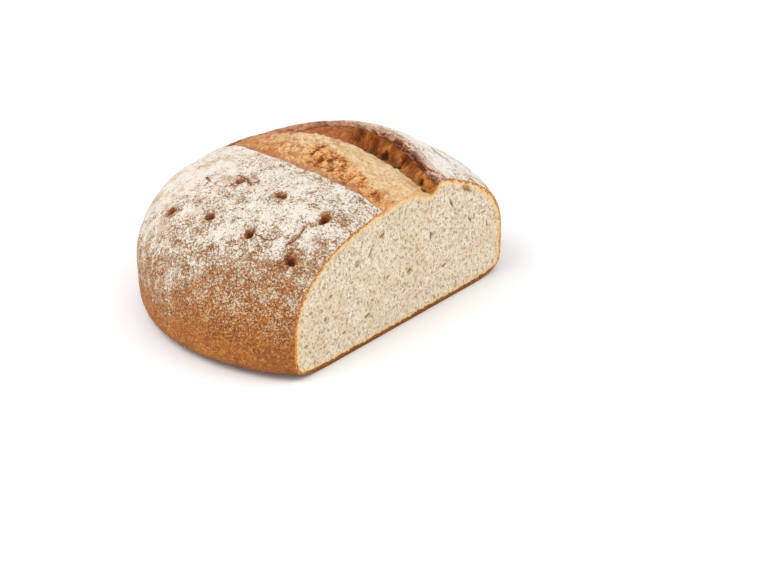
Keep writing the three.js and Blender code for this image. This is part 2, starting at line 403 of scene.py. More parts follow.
def crust_detail(points, w):
    """Fine form of the crust, as a displacement along the normal in millimetres, and the painting masks."""
    p = points.reshape(-1, 3)
    w = w.reshape(-1)
    x, z = p[:, 0], p[:, 2]
    s = along_score(x)
    behind = np.where(w > 0, FAR_BEHIND, FAR_BEFORE)
    behind = np.where(np.abs(w) < UNDERSIDE_MARK - 0.1, (w - 1) * (ear_y(x) - near_edge_y(x)), behind)
    torn = smooth(w / 0.03) * fall(w, 1.0, 0.02) * smooth(s / 0.1)
    wall = rise(w, 0.74, 0.1) * fall(w, 1.0, 0.02) * smooth(s / 0.25)
    bloom = torn * (1 - wall)
    lip_reach = mix(4.2, 5.8, rise(s, 0.42, 0.2))
    lip = smooth((behind + lip_reach) / 2.2) * fall(behind, 6.5, 4.0) * rise(s, -0.02, 0.22)

    # the skin, with its splits
    d = 1.0 * fractal(p, 42, 1) + 0.45 * fractal(p, 13, 2, 2)
    d += (1 - torn) * (0.26 * fractal(p, 4.0, 3, 2) + 0.22 * rise(z, 24, 42) * noise(p, 2.3, 5))
    split, split_off, split_open = split_depth(p)
    d -= split

    # the score, calmer beside the slice
    torn_lumps, craggy, crack = bloom_relief(p, w, s)
    d += bloom * (torn_lumps * (0.45 + 0.55 * fall(x, SLICE_X, 5)) + 0.9 * fractal(p, 10.0, 23))
    strands, hole = wall_relief(p, w, s)
    d += wall * strands * (0.3 + 0.7 * fall(x, SLICE_X, 7))
    streak = ridges(p * (0.3, 1, 1), 4.5, 51, 2)
    d += lip * (0.9 * fractal(p * (0.5, 1, 1), 4.5, 53) - 1.0 * rise(streak, 0.70, 0.2))

    # the docking holes, each with a slight rim
    hold = dock_distance(p)
    ragged = hold + 1.0 * noise(p, 2.6, 61)
    d -= DOCK_DEPTH * fall(ragged, DOCK_RADIUS + 0.5, 1.5)
    d += 0.45 * bell(ragged, 5.2, 1.2)
    d *= 1 - 0.75 * fall(z, 8, 8)
    masks = {
        "torn": torn,
        "wall": wall,
        "lip": lip,
        "behind": behind,
        "along": s,
        "prickoff": np.minimum(hold, 8.0),
        "dockring": bell(np.maximum(hold - 3.6, 0), 0, 2.6),
        "splitoff": split_off,
        "splitopen": split_open,
        # where the wall's holes get painted shade
        "hole": hole * wall,
        "craggy": craggy * bloom,
        # where the bloom's cracks get painted shade
        "crack": rise(crack, 0.66, 0.22) * craggy * bloom,
        # height of the lumps and strands, which paints shade into the hollows and highlight onto the tops
        "relief_shading": 0.5 + 0.42 * mix(torn_lumps, strands, smooth(wall / 0.5)),
        "streak": rise(streak, 0.66, 0.22),
        "start": bell(s, 0.045, 0.06) * rise(w, -0.1, 0.15) * fall(w, 0.8, 0.4),
    }
    return d.reshape(points.shape[:2]), masks


def build_crust():
    points, w = crust_grid()
    detail, masks = crust_detail(points, w)
    moved = points + grid_normals(points) * detail[..., None]
    moved[..., 2] = np.maximum(moved[..., 2], 0)
    moved[-1, :, 0] = SLICE_X
    return moved, w, masks


# ------------------------------------------------ the sliced face
FACE_PITCH = 0.74  # between the points of the sliced face
FACE_ROW_PITCH = FACE_PITCH * 0.866  # rows of a triangular lattice
FACE_JITTER = 0.12  # share of the pitch
FACE_MARGIN = 0.6  # clear of the outline, as a share of the pitch

# The crumb's larger holes: y and z on the slice, half length, half width, tilt in degrees and depth.
CRUMB_HOLES = (
    (-30, 63, 2.8, 1.2, 68, 1.8),
    (-18, 68, 2.6, 0.9, 25, 1.3),
    (-8, 59, 3.4, 2.4, 0, 0.6),
    (-42, 57, 2.6, 2.0, 10, 0.8),
    (61.5, 71, 6.4, 1.7, -33, 2.6),
    (46, 67, 4.6, 1.1, -56, 1.8),
    (68, 48, 2.8, 1.0, -65, 1.4),
    (26, 51, 2.4, 1.0, 85, 1.6),
    (-34, 21, 2.8, 1.2, 30, 1.6),
    (-72, 31, 2.0, 1.1, 60, 1.2),
    (84, 38, 2.6, 0.9, -80, 1.2),
    (4, 34, 2.2, 1.1, 40, 1.2),
    (40, 26, 3.0, 0.9, 12, 1.2),
)


TINY = 1e-12


def outline_distance(p, edge):
    """Distance inside a closed outline, negative outside it."""
    a, b = edge, np.roll(edge, -1, axis=0)
    best = np.full(len(p), 1e9)
    crossings = np.zeros(len(p), bool)
    for (ax, ay), (bx, by) in zip(a, b):
        dx, dy = bx - ax, by - ay
        length = dx * dx + dy * dy + TINY
        t = np.clip(((p[:, 0] - ax) * dx + (p[:, 1] - ay) * dy) / length, 0, 1)
        best = np.minimum(best, np.hypot(p[:, 0] - ax - t * dx, p[:, 1] - ay - t * dy))
        spans = (ay > p[:, 1]) != (by > p[:, 1])
        where = ax + (p[:, 1] - ay) * dx / (dy if abs(dy) > TINY else TINY)
        crossings ^= spans & (p[:, 0] < where)
    return np.where(crossings, best, -best)


def face_points(edge):
    """Scattered points inside the slice's outline, on a jittered triangular lattice."""
    lo, hi = edge.min(0), edge.max(0)
    rng = np.random.default_rng(11)
    rows = np.arange(lo[1], hi[1], FACE_ROW_PITCH)
    cols = np.arange(lo[0], hi[0], FACE_PITCH)
    yy, zz = np.meshgrid(cols, rows)
    yy = yy + (np.arange(len(rows)) % 2)[:, None] * FACE_PITCH / 2
    p = np.stack([yy.ravel(), zz.ravel()], 1)
    p += rng.uniform(-FACE_JITTER, FACE_JITTER, p.shape) * FACE_PITCH
    return p[outline_distance(p, edge) > FACE_PITCH * FACE_MARGIN]


def crumb_holes(q):
    """Depth of the larger holes at each point of the slice, in millimetres, and how far into one it is."""
    depth = np.zeros(len(q))
    share = np.zeros(len(q))
    wander = 0.35 * noise(q, 2.2, 97)
    for y, z, half_length, half_width, tilt, deep in CRUMB_HOLES:
        c, s = math.cos(math.radians(tilt)), math.sin(math.radians(tilt))
        along = ((q[:, 0] - y) * c + (q[:, 1] - z) * s) / half_length
        side = ((q[:, 1] - z) * c - (q[:, 0] - y) * s) / half_width
        here = smooth((1.2 + wander - np.hypot(along, side)) / 0.4)
        depth = np.maximum(depth, here * deep)
        share = np.maximum(share, here * min(1, deep / 1.4))
    return depth, share


def crumb_detail(p, inside):
    """Depth of the pores in the sliced face, and how far into a pore each point is."""
    q = np.stack([p[:, 0], p[:, 1], np.zeros(len(p))], 1)
    q += np.stack([noise(q, 11, 71), noise(q, 11, 72), np.zeros(len(p))], 1) * 2.2
    inner = rise(inside, 1.4, 3.0)
    tiny, tiny_pick = cells(q * (1, 1.1, 1), 2.1, 73)
    small, small_pick = cells(q * (0.8, 1.15, 1), 3.2, 63)
    mid, mid_pick = cells(q * (0.62, 1.15, 1), 5.8, 83)
    open_crumb = 0.55 + 0.45 * rise(noise(q, 28, 76), -0.3, 0.6)
    pore = fall(tiny, 0.55, 0.35) * (0.35 + 0.55 * tiny_pick) * 0.35
    pore = np.maximum(pore, fall(small, 0.46, 0.25) * rise(small_pick, 0.45, 0.4) * 0.8)
    pore = np.maximum(pore, fall(mid, 0.34, 0.2) * rise(mid_pick, 0.66, 0.3) * 1.2)
    pore = pore * open_crumb
    deep, share = crumb_holes(q)
    depth = np.maximum(pore, deep) * inner
    swell = 0.4 * fractal(q, 18, 77, 2) + 0.18 * noise(q, 2.4, 79) + 0.12 * noise(q, 1.5, 80)
    return depth - swell * inner, np.clip(np.maximum(pore / 1.8, share), 0, 1) * inner


def build_face(crust):
    """The slice inside the crust grid's last ring. Returns its own points, its triangles, which number the ring's
    kept points before them, the kept points, and for its own points the distance inside and the share of pore."""
    edge = crust[-1][:, 1:]
    keep = [i for i in range(len(edge)) if np.linalg.norm(edge[i] - edge[i - 1]) > 1e-4]
    outline = edge[keep]
    inner = face_points(outline)
    verts = [Vector(v) for v in np.concatenate([outline, inner])]
    loop = list(range(len(outline)))
    edges = [(i, (i + 1) % len(outline)) for i in loop]
    result = delaunay_2d_cdt(verts, edges, [loop], 1, 1e-6)
    assert len(result[0]) == len(verts), "the slice's outline crosses itself"
    inside = outline_distance(inner, outline)
    depth, pore = crumb_detail(inner, inside)
    points = np.stack([np.full(len(inner), SLICE_X) - depth, inner[:, 0], inner[:, 1]], 1)
    return points, np.array(result[2]), keep, inside, pore


# ------------------------------------------------ the mesh
def add_attribute(mesh, name, values):
    layer = mesh.attributes.new(name, "FLOAT", "POINT")
    layer.data.foreach_set("value", np.asarray(values, np.float32))


def sharpen_rim(mesh, rim):
    """Marks the edges between two of the rim's points as sharp."""
    ends = np.zeros(len(mesh.edges) * 2, np.int64)
    mesh.edges.foreach_get("vertices", ends)
    ends = ends.reshape(-1, 2)
    layer = mesh.attributes.new("sharp_edge", "BOOLEAN", "EDGE")
    layer.data.foreach_set("value", rim[ends[:, 0]] & rim[ends[:, 1]])


def build_loaf(crust_paint, crumb_paint):
    """One closed mesh: a point at the far end, the crust's rings and the slice."""
    crust, w, masks = build_crust()
    rows, count = crust.shape[:2]
    face, tris, keep, inside, pore = build_face(crust)
    end = np.array([[-HALF_LENGTH, 0, BELLY_HEIGHT]])
    points = np.concatenate([end, crust.reshape(-1, 3), face])
    last_ring = 1 + (rows - 1) * count
    first_face_point = 1 + rows * count

    def at(row, column):
        return 1 + row * count + (column % count)

    i, j = np.meshgrid(np.arange(rows - 1), np.arange(count), indexing="ij")
    quads = np.stack([at(i, j), at(i + 1, j), at(i + 1, j + 1), at(i, j + 1)], -1).reshape(-1, 4)
    fan = np.array([[0, at(0, k), at(0, k + 1)] for k in range(count)])
    cut = np.concatenate([last_ring + np.array(keep), first_face_point + np.arange(len(face))])[tris]
    mesh = bpy.data.meshes.new("loaf_bread")
    in_frame = (points + (MIDDLE_X, 0, 0)) * MM
    mesh.from_pydata(in_frame.tolist(), [], fan.tolist() + quads.tolist() + cut.tolist())
    rim = np.zeros(len(points), bool)
    rim[last_ring:first_face_point] = True
    sharpen_rim(mesh, rim)
    mesh.polygons.foreach_set("use_smooth", np.ones(len(mesh.polygons), bool))
    mesh.materials.append(crust_paint)
    mesh.materials.append(crumb_paint)
    material_index = np.zeros(len(mesh.polygons), np.int32)
    material_index[len(fan) + len(quads) :] = 1
    mesh.polygons.foreach_set("material_index", material_index)
    for name, values in {**masks, "across": w.reshape(-1)}.items():
        add_attribute(mesh, name, np.concatenate([[0], values, np.zeros(len(face))]))
    for name, values in {"inside": inside, "pore": pore}.items():
        add_attribute(mesh, name, np.concatenate([np.zeros(first_face_point), values]))
    obj = bpy.data.objects.new("loaf_bread", mesh)
    bpy.context.scene.collection.objects.link(obj)
    return obj


# ------------------------------------------------ materials
class Paint:
    """A node material with one Principled shader, and short calls for the nodes that feed it."""

    def __init__(self, name):
        self.material = bpy.data.materials.new(name)
        self.material.use_nodes = True
        self.tree = self.material.node_tree
        self.shader = self.tree.nodes["Principled BSDF"]
        self.coords = self.tree.nodes.new("ShaderNodeTexCoord").outputs["Object"]
        self.place = self.node("ShaderNodeSeparateXYZ", {"Vector": self.coords})

    def node(self, kind, inputs=None, **settings):
        made = self.tree.nodes.new(kind)
        for key, value in settings.items():
            setattr(made, key, value)
        for key, value in (inputs or {}).items():
            self.feed(made.inputs[key], value)
        return made

    def feed(self, socket, value):
        if isinstance(value, bpy.types.NodeSocket):
            self.tree.links.new(value, socket)
        elif isinstance(value, tuple) and len(value) == 3 and socket.type == "RGBA":
            socket.default_value = (*value, 1)
        else:
            socket.default_value = value

    def mask(self, name):
        return self.node("ShaderNodeAttribute", attribute_name=name).outputs["Fac"]

    def maths(self, operation, a, b=0.0, c=0.0):
        return self.node("ShaderNodeMath", {0: a, 1: b, 2: c}, operation=operation).outputs[0]

    def product(self, first, *others):
        for other in others:
            first = self.maths("MULTIPLY", first, other)
        return first

    def total(self, first, *others):
        for other in others:
            first = self.maths("ADD", first, other)
        return first

    def off_middle(self, noise):
        return self.maths("SUBTRACT", noise, 0.5)

    def stir(self, base, noise, amount):
        """BASE moved by AMOUNT times how far NOISE is from its middle."""
        return self.maths("MULTIPLY_ADD", self.off_middle(noise), amount, base)

    def between(self, value, low, high, out_low=0.0, out_high=1.0):
        """VALUE eased from OUT_LOW at LOW to OUT_HIGH at HIGH."""
        inputs = {"Value": value, 1: low, 2: high, 3: out_low, 4: out_high}
        return self.node("ShaderNodeMapRange", inputs, interpolation_type="SMOOTHSTEP").outputs[0]

    def blend(self, share, a, b):
        made = self.node("ShaderNodeMix", data_type="RGBA")
        self.feed(made.inputs["Factor"], share)
        self.feed(made.inputs[6], a)
        self.feed(made.inputs[7], b)
        return made.outputs[2]

    def tint(self, base, colour, value, low, high, most=1.0):
        """BASE turning to COLOUR, by a share of up to MOST, as VALUE goes from LOW to HIGH."""
        return self.blend(self.between(value, low, high, 0.0, most), base, colour)

    def ramp(self, value, *stops):
        """A colour for VALUE, eased between the stops, each a place from 0 to 1 and a colour."""
        made = self.node("ShaderNodeValToRGB", {"Fac": value})
        made.color_ramp.interpolation = "EASE"
        while len(made.color_ramp.elements) < len(stops):
            made.color_ramp.elements.new(0.5)
        for element, (place, colour) in zip(made.color_ramp.elements, stops):
            element.position = place
            element.color = (*colour, 1)
        return made.outputs["Color"]

    def noise(self, size, detail=2.0, rough=0.5, warp=0.0, vector=None):
        """Fractal noise, mostly 0.3 to 0.7, with features about SIZE millimetres across."""
        inputs = {"Vector": vector or self.coords, "Scale": 1 / (size * MM), "Detail": detail}
        inputs |= {"Roughness": rough, "Distortion": warp}
        return self.node("ShaderNodeTexNoise", inputs).outputs["Fac"]

    def cells(self, size, vector=None):
        """Distance from the nearest of points scattered about SIZE millimetres apart."""
        inputs = {"Vector": vector or self.coords, "Scale": 1 / (size * MM)}
        return self.node("ShaderNodeTexVoronoi", inputs, feature="F1").outputs["Distance"]

    def stretched(self, x, y, z, vector=None):
        inputs = {"Vector": vector or self.coords, "Scale": (x, y, z)}
        return self.node("ShaderNodeMapping", inputs).outputs[0]

    def bent(self, amount, size):
        """The coordinates pushed about by up to AMOUNT millimetres, in swirls of SIZE millimetres."""
        inputs = {"Vector": self.coords, "Scale": 1 / (size * MM), "Detail": 1.0}
        swirl = self.node("ShaderNodeTexNoise", inputs).outputs["Color"]
        inputs = {0: swirl, 1: (0.5, 0.5, 0.5)}
        centred = self.node("ShaderNodeVectorMath", inputs, operation="SUBTRACT").outputs[0]
        reach = 4 * amount * MM
        inputs = {0: centred, 1: (reach, reach, reach), 2: self.coords}
        return self.node("ShaderNodeVectorMath", inputs, operation="MULTIPLY_ADD").outputs[0]

    def bump(self, height, millimetres):
        inputs = {"Height": height, "Strength": 1.0, "Distance": millimetres * MM}
        return self.node("ShaderNodeBump", inputs).outputs[0]


def rgb(red, green, blue):
    """A linear colour from sRGB values of 0 to 255."""
    c = np.array([red, green, blue]) / 255
    return tuple(float(v) for v in np.where(c <= 0.04045, c / 12.92, ((c + 0.055) / 1.055) ** 2.4))


# bare crust
BAKED_PALE, BAKED_MID, BAKED_DARK = rgb(212, 132, 42), rgb(198, 114, 34), rgb(166, 88, 26)
BAKED_GOLD = rgb(220, 148, 66)
BAKED_SPECK = rgb(134, 64, 16)
BAKED_GRAIN = rgb(232, 166, 92)
BASE_BROWN = rgb(126, 66, 28)
UPPER_TAN = rgb(178, 122, 80)
# painted shade: dark specks standing for the shadows of small pits in the crust
SKIN_PIT_SHADE = rgb(96, 52, 26)
SAND_LOW, SAND_HIGH = rgb(234, 172, 104), rgb(244, 222, 188)

# floured crust, with its docking holes and splits
FLOUR_THIN, FLOUR_MID, FLOUR_THICK = rgb(206, 178, 146), rgb(217, 203, 185), rgb(228, 220, 210)
# painted light: the flour behind the ear is painted whiter, as if lit from the back
FLOUR_FAR_LIT = rgb(242, 235, 226)
FLOUR_BLUSH = rgb(206, 176, 144)
FLOUR_VEIL = rgb(211, 181, 146)
FLOUR_SHADE = rgb(124, 78, 48)
FLECK = rgb(104, 62, 36)
# docking holes: bare brown crust at the edge, darker towards the floor as painted shade
DOCK_EDGE, DOCK_WALL_SHADE, DOCK_FLOOR_SHADE = rgb(150, 88, 46), rgb(106, 54, 26), rgb(76, 36, 18)
SPLIT = rgb(116, 60, 28)

# torn bloom in the score; the low, mid and high colours of the bloom and caramel are painted shade in the hollows
# and painted highlight on the lumps
BLOOM_LOW, BLOOM_MID, BLOOM_HIGH = rgb(186, 112, 52), rgb(232, 166, 98), rgb(255, 220, 166)
BLOOM_PALE_LOW, BLOOM_PALE_MID, BLOOM_PALE_HIGH = rgb(226, 164, 102), rgb(250, 208, 154), rgb(255, 236, 198)
BLOOM_DRIFT = rgb(208, 134, 72)
BLOOM_CLOSED_END = rgb(206, 126, 70)
BLOOM_BLOTCH = rgb(196, 112, 58)
CARAMEL_LOW, CARAMEL_MID, CARAMEL_HIGH = rgb(142, 70, 28), rgb(220, 136, 68), rgb(254, 202, 138)
# painted shade in the bloom's cracks
BLOOM_CRACK_SHADE = rgb(150, 78, 34)
BLOOM_EDGE = rgb(198, 136, 100)

# wall under the ear, and the ear's lip
# the wall's dark, mid and pale colours are painted shade in the hollows and painted highlight on the strands
WALL_DARK, WALL_MID, WALL_PALE = rgb(98, 48, 14), rgb(162, 86, 30), rgb(216, 142, 70)
WALL_FOOT = rgb(156, 122, 62)
# painted shade for the wall's open holes
WALL_HOLE_SHADE = rgb(86, 50, 24)
WALL_END_DARK, WALL_END_PALE = rgb(198, 122, 74), rgb(224, 150, 98)
LIP_DARK, LIP_MID, LIP_PALE = rgb(112, 48, 22), rgb(170, 98, 58), rgb(242, 204, 178)
LIP_END_DARK, LIP_END_PALE = rgb(204, 134, 94), rgb(228, 170, 132)
LIP_STREAK = rgb(86, 40, 26)
# pinkish skin of the ear's top edge; the pale one is a painted highlight
ROSE_DARK, ROSE_HIGHLIGHT = rgb(208, 156, 120), rgb(240, 214, 190)
SEARED_DARK, SEARED_PALE = rgb(84, 34, 20), rgb(142, 76, 46)
LIP_DUST = rgb(226, 204, 188)
SCORE_TIP_DARK, SCORE_TIP_PALE = rgb(110, 54, 26), rgb(176, 104, 56)

# sliced face
CRUMB_GAP, CRUMB_WEB = rgb(222, 203, 175), rgb(240, 228, 209)
CRUMB_SHADE = rgb(208, 184, 146)
CRUMB_CLOUD = rgb(222, 198, 162)
# painted shade in the crumb's specks, pinholes and pores
CRUMB_SPECK_SHADE = rgb(194, 164, 120)
CRUMB_PINHOLE_SHADE = rgb(178, 144, 94)
CRUMB_PORE_SHADE = rgb(160, 120, 66)
CRUMB_GOLD = rgb(240, 204, 142)
RIM_DARK, RIM_PALE = rgb(168, 94, 38), rgb(232, 164, 90)
RIM_BLOOM = rgb(232, 186, 132)
RIM_UNDERSIDE = rgb(104, 58, 28)


class Crust(Paint):
    """The crust's paint. Heights are in metres, and distances and noise sizes are in millimetres."""

    def __init__(self):
        super().__init__("loaf_crust")
        self.z = self.place.outputs["Z"]
        self.across = self.mask("across")
        self.along = self.mask("along")
        self.behind = self.mask("behind")
        self.relief_shading = self.mask("relief_shading")
        self.pinch = self.noise(1.0, 2, 0.6)
        self.grain = self.noise(1.9, 3, 0.65, 0.4)
        self.clump = self.noise(3.8, 3, 0.6, 0.6)
        self.patch = self.noise(10, 3, 0.6)
        self.sugar = self.noise(1.7, 4, 0.7)
        self.char = self.noise(3.4, 4, 0.7, 0.8, self.stretched(0.35, 1.0, 1.0))

        self.hole_edge = self.stir(self.mask("prickoff"), self.grain, 3.2)
        self.pricked = self.between(self.hole_edge, 3.8, 3.2)
        split_open = self.mask("splitopen")
        split_off = self.maths("ABSOLUTE", self.stir(self.mask("splitoff"), self.pinch, 1.6))
        self.crease = self.product(self.between(split_off, 0.62, 0.3), self.between(split_open, 0.1, 0.4))
        self.scuffed = self.product(self.between(split_off, 2.6, 0.8), split_open)

        self.flour_cover = self.cover()
        self.flour_level = self.grained(self.flour_cover)
        self.flour = self.between(self.flour_level, -0.10, 0.14)

    def cover(self):
        """How much flour lies here: thick on top, and none, which is below 0, at the base."""
        cover = self.between(self.z, 0.006, 0.030, -0.98, -0.38)
        cover = self.total(cover, self.between(self.z, 0.026, 0.062, 0.0, 0.40))
        cover = self.total(cover, self.between(self.z, 0.052, 0.085, 0.0, 0.36))
        far_side = self.between(self.behind, 0.0, 14.0, 0.0, 0.30)
        far_side = self.product(far_side, self.between(self.along, -0.05, 0.4))
        cover = self.total(cover, far_side, self.between(self.along, 0.50, -0.05, 0.0, 0.33))
        bald = self.product(self.between(self.along, 0.35, 0.75), self.between(self.z, 0.092, 0.066))
        cover = self.maths("MULTIPLY_ADD", bald, -0.24, cover)
        cover = self.stir(cover, self.noise(36, 2), 0.8)
        cover = self.stir(cover, self.patch, 1.7)
        round_holes = self.between(self.along, 0.1, 0.5, -0.40, -0.34)
        return self.maths("MULTIPLY_ADD", self.mask("dockring"), round_holes, cover)

    def grained(self, cover):
        """The cover broken into grains, above 0 where flour shows."""
        grit = self.maths("SUBTRACT", 0.5, self.cells(1.7))
        level = self.maths("MULTIPLY_ADD", grit, 0.5, cover)
        level = self.stir(level, self.pinch, 2.3)
        level = self.stir(level, self.grain, 1.3)
        level = self.stir(level, self.clump, 0.8)
        level = self.maths("MULTIPLY_ADD", self.scuffed, -0.3, level)
        return self.maths("MULTIPLY_ADD", self.maths("MAXIMUM", self.pricked, self.crease), -1.4, level)

    def baked_skin(self):
        """The bare crust, mottled brown."""
        baked = self.ramp(self.noise(16, 4, 0.65), (0.38, BAKED_PALE), (0.5, BAKED_MID), (0.62, BAKED_DARK))
        baked = self.tint(baked, BAKED_GOLD, self.clump, 0.5, 0.66, 0.5)
        baked = self.tint(baked, BAKED_SPECK, self.noise(1.3, 3, 0.7), 0.50, 0.56, 0.8)
        baked = self.tint(baked, BAKED_GRAIN, self.grain, 0.46, 0.40, 0.9)
        return self.tint(baked, BASE_BROWN, self.z, 0.014, 0.0, 0.7)

    def sanded(self, baked):
        """Fine tan grit over the bare crust, thicker towards the top, and dark specks of painted shade that stand
        for small pits.
        """
        swirled = self.bent(0.5, 2.2)
        amount = self.stir(self.between(self.z, 0.006, 0.052, -0.10, 0.13), self.patch, 0.7)
        amount = self.stir(amount, self.clump, 0.5)
        grains = self.maths("SUBTRACT", self.total(amount, 0.22), self.cells(1.75, swirled))
        speckles = self.maths("SUBTRACT", self.total(amount, 0.16), self.cells(1.25, swirled))
        sand = self.between(self.maths("MAXIMUM", grains, speckles), -0.02, 0.04)
        # dark specks of painted shade, standing for the shadows in small pits of the crust
        pit_shade = self.product(
            self.between(self.noise(1.3, 2, 0.65), 0.53, 0.55), self.between(self.z, 0.008, 0.035, 0.2, 0.9)
        )
        baked = self.tint(baked, UPPER_TAN, self.z, 0.025, 0.060, 0.6)
        baked = self.blend(pit_shade, baked, SKIN_PIT_SHADE)
        return self.blend(sand, baked, self.tint(SAND_LOW, SAND_HIGH, self.z, 0.015, 0.055))

    def floured(self, baked):
        """Flour over the crust, with dark flecks, docking holes and splits. The docking holes are bare brown
        crust, darkened towards their floor as painted shade.
        """
        level, along = self.flour_level, self.along
        dust = self.ramp(level, (0.0, FLOUR_THIN), (0.22, FLOUR_MID), (0.60, FLOUR_THICK))
        # painted light: the flour whitens behind the ear, on the side where the light falls
        dust = self.tint(dust, FLOUR_FAR_LIT, self.behind, 0.0, 14.0, 0.6)
        blush = self.between(self.noise(9, 3, 0.6), 0.50, 0.62)
        blush = self.product(blush, self.between(along, 0.6, 0.2, 0.2, 0.8))
        dust = self.blend(blush, dust, FLOUR_BLUSH)
        under = self.tint(baked, FLOUR_VEIL, self.stir(self.flour_cover, self.grain, 2.2), -0.25, 0.45, 0.78)
        under = self.tint(under, FLOUR_SHADE, level, 0.0, -0.25, 0.4)
        skin = self.blend(self.flour, under, dust)
        flecked = self.product(
            self.between(self.noise(1.15, 2, 0.7, 0.5), 0.435, 0.405),
            self.between(self.clump, 0.58, 0.42, 0.1, 0.95),
            self.between(self.noise(15, 2), 0.42, 0.54, 0.15, 1.0),
            self.between(along, 0.15, 0.7, 0.15, 1.0),
            self.between(self.flour_cover, -0.3, 0.1),
        )
        skin = self.blend(flecked, skin, FLECK)
        # bare brown crust in the docking holes, darkened with depth as painted shade
        into_hole = self.between(self.hole_edge, 3.6, 0.8)
        hole = self.ramp(into_hole, (0.1, DOCK_EDGE), (0.6, DOCK_WALL_SHADE), (1.0, DOCK_FLOOR_SHADE))
        skin = self.blend(self.pricked, skin, hole)
        return self.blend(self.product(self.crease, 0.9), skin, SPLIT)

    def bloom(self):
        """The torn dough in the score: golden, paler to the right, caramel where it is craggy, with painted shade
        in the hollows and cracks and painted highlight on the lumps.
        """
        # follows the lumps' height: painted shade in the hollows, painted highlight on the tops
        shaded_tone = self.stir(self.relief_shading, self.sugar, 2.6)
        bloom = self.ramp(shaded_tone, (0.02, BLOOM_LOW), (0.38, BLOOM_MID), (0.80, BLOOM_HIGH))
        pale = self.between(self.across, 0.12, 0.42)
        pale = self.product(pale, self.between(self.along, 0.0, 0.5, 0.35, 0.95))
        pale_tone = self.ramp(shaded_tone, (0.0, BLOOM_PALE_LOW), (0.35, BLOOM_PALE_MID), (0.8, BLOOM_PALE_HIGH))
        bloom = self.blend(pale, bloom, pale_tone)
        bloom = self.tint(bloom, BLOOM_DRIFT, self.noise(14, 3, 0.6), 0.52, 0.64, 0.45)
        bloom = self.tint(bloom, BLOOM_CLOSED_END, self.along, 0.45, 0.12, 0.6)
        blotch = self.between(self.noise(6, 3, 0.6), 0.50, 0.60)
        blotch = self.product(blotch, self.between(self.along, 0.75, 0.35, 0.1, 0.75))
        bloom = self.blend(blotch, bloom, BLOOM_BLOTCH)
        caramel = self.ramp(shaded_tone, (0.02, CARAMEL_LOW), (0.32, CARAMEL_MID), (0.70, CARAMEL_HIGH))
        bloom = self.tint(bloom, caramel, self.mask("craggy"), 0.2, 0.8, 0.9)
        # painted shade darkens the bloom's cracks
        bloom = self.tint(bloom, BLOOM_CRACK_SHADE, self.mask("crack"), 0.2, 0.9, 0.7)
        return self.tint(bloom, BLOOM_EDGE, self.stir(self.across, self.patch, 0.3), 0.10, 0.04, 0.75)

    def torn_wall(self):
        """The fibrous wall under the ear, smoother towards the score's closed end, with painted shade in the
        hollows and holes and painted highlight on the strands.
        """
        rib = self.noise(2.6, 4, 0.7, 1.0, self.stretched(1.0, 0.45, 0.45))
        # follows the strands' height: painted shade in the hollows, painted highlight on the strands
        fibre_shading = self.stir(self.relief_shading, rib, 1.8)
        wall = self.ramp(fibre_shading, (0.05, WALL_DARK), (0.45, WALL_MID), (0.90, WALL_PALE))
        wall = self.tint(wall, WALL_FOOT, self.across, 0.90, 0.80, 0.5)
        # painted shade darkens the open holes in the wall
        wall = self.tint(wall, WALL_HOLE_SHADE, self.mask("hole"), 0.25, 0.9, 0.85)
        closed_end = self.ramp(self.clump, (0.4, WALL_END_DARK), (0.6, WALL_END_PALE))
        return self.tint(wall, closed_end, self.along, 0.52, 0.34)

    def ear_lip(self):
        """The ear's dark lip, with a seared line, a rosy band that carries a painted highlight along the ear's
        top edge, and dust along its back.
        """
        along, behind = self.along, self.behind
        lip = self.ramp(self.char, (0.42, LIP_DARK), (0.50, LIP_MID), (0.57, LIP_PALE))
        closed_end = self.ramp(self.clump, (0.4, LIP_END_DARK), (0.6, LIP_END_PALE))
        lip = self.tint(lip, closed_end, along, 0.62, 0.40, 0.8)
        lip = self.tint(lip, LIP_STREAK, self.mask("streak"), 0.3, 0.9, 0.7)
        # the rosy band: pinkish skin, with its pale end a painted highlight along the ear's top edge
        rosy_and_highlight = self.product(
            self.between(behind, -4.0, -0.4),
            self.between(along, 0.80, 0.55, 0.22, 0.9),
            self.between(along, 0.32, 0.50, 0.15, 1.0),
        )
        lip = self.blend(rosy_and_highlight, lip, self.ramp(self.grain, (0.42, ROSE_DARK), (0.58, ROSE_HIGHLIGHT)))
        line = self.stir(behind, self.clump, 9.0)
        seared = self.product(
            self.between(line, -6.2, -4.8),
            self.between(line, -1.8, -3.4),
            self.between(along, 0.52, 0.70, 0.0, 0.62),
        )
        lip = self.blend(seared, lip, self.ramp(self.grain, (0.42, SEARED_DARK), (0.6, SEARED_PALE)))
        dusted = self.product(
            self.between(self.flour_level, 0.05, 0.5),
            self.between(behind, -1.0, 4.0, 0.0, 0.85),
            self.between(along, 0.28, 0.46, 0.3, 1.0),
        )
        return self.blend(dusted, lip, LIP_DUST)

    def finish(self):
        """Puts the parts together, each with a ragged edge, and feeds the shader."""
        jitter = self.off_middle(self.maths("MULTIPLY_ADD", self.clump, 0.6, self.product(self.patch, 0.4)))

        def ragged(name, amount):
            return self.maths("MULTIPLY_ADD", jitter, amount, self.mask(name))

        torn_now = self.between(ragged("torn", 1.6), 0.38, 0.62)
        wall_now = self.between(ragged("wall", 1.2), 0.35, 0.65)
        lip_now = self.between(ragged("lip", 1.4), 0.34, 0.62)
        skin = self.floured(self.sanded(self.baked_skin()))
        colour = self.blend(torn_now, skin, self.blend(wall_now, self.bloom(), self.torn_wall()))
        colour = self.blend(lip_now, colour, self.ear_lip())
        score_tip = self.ramp(self.grain, (0.4, SCORE_TIP_DARK), (0.6, SCORE_TIP_PALE))
        colour = self.tint(colour, score_tip, ragged("start", 0.9), 0.35, 0.7, 0.9)
        self.feed(self.shader.inputs["Base Color"], colour)

